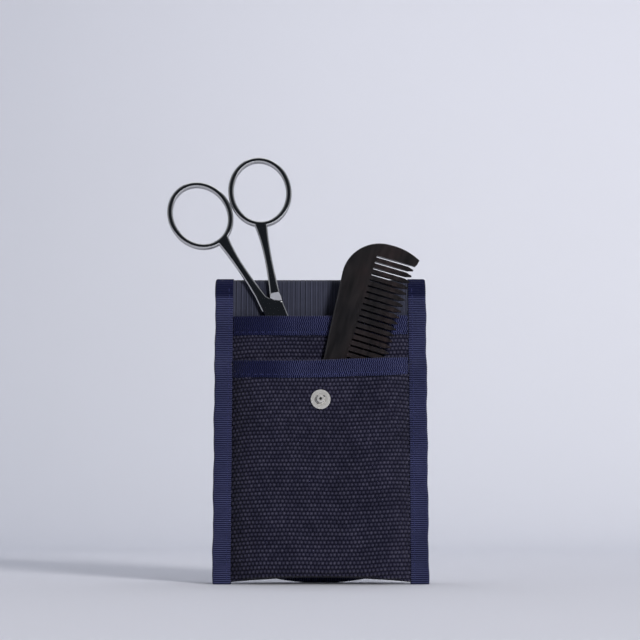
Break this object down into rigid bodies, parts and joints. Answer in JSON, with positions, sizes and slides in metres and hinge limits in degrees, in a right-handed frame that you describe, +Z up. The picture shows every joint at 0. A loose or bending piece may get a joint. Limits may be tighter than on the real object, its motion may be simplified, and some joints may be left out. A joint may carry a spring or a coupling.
{
  "type": "beard grooming kit",
  "caption": "Bound canvas pouch that stands on its edge with its flap folded back, holding finger-ring scissors and a wooden comb.",
  "frame": {"origin": "bottom centre of the kit's bounding box, on the surface that it stands on", "axes": "+Z up; -Y the way the pockets and the press stud face; +X to the right as the pockets are seen"},
  "size_m": [0.1318, 0.041, 0.2165],
  "materials": {
    "canvas": "thick basket weave, matte",
    "lining": "smooth plain weave, slight sheen",
    "tape": "ribbed binding tape, matte",
    "snap_metal": "plated, polished",
    "steel": "polished stainless steel",
    "comb_wood": "dark, smooth, oiled"
  },
  "bodies": {
    "pouch": {"back_panel": "canvas", "back_lining": "lining", "bottom_fold": "canvas", "divider_panel": "canvas", "divider_mouth_tape": "tape", "front_panel": "canvas", "front_mouth_tape": "tape", "left_side_tape": "tape", "right_side_tape": "tape", "snap_stud": "snap_metal", "snap_eyelet": "snap_metal"},
    "flap": {"flap_panel": "canvas", "flap_lining": "lining", "flap_tape": "tape", "snap_cap": "snap_metal", "snap_socket": "snap_metal", "snap_spring": "snap_metal"},
    "scissor_front": {"scissor_front_half": "steel"},
    "scissor_rear": {"scissor_rear_half": "steel", "pivot_screw": "steel"},
    "comb": {"comb": "comb_wood"}
  },
  "joints": [
    {"name": "flap_fold", "type": "hinge", "parent": "pouch", "child": "flap", "pos_m": [0.01241, 0.01209, 0.14979], "axis": [1, 0, 0], "range_deg": [-7, 165]},
    {"name": "scissors_slide", "type": "slide", "parent": "pouch", "child": "scissor_front", "axis": [-0.3786, 0.0967, 0.9205], "range_m": [-0.01, 0.09]},
    {"name": "scissors_pivot", "type": "hinge", "parent": "scissor_front", "child": "scissor_rear", "pos_m": [-0.00654, 0.00424, 0.12578], "axis": [0, 0.9945, -0.1045], "range_deg": [0, 40]},
    {"name": "comb_slide", "type": "slide", "parent": "pouch", "child": "comb", "axis": [0.284, 0.1002, 0.9536], "range_m": [-0.03, 0.06]}
  ]
}
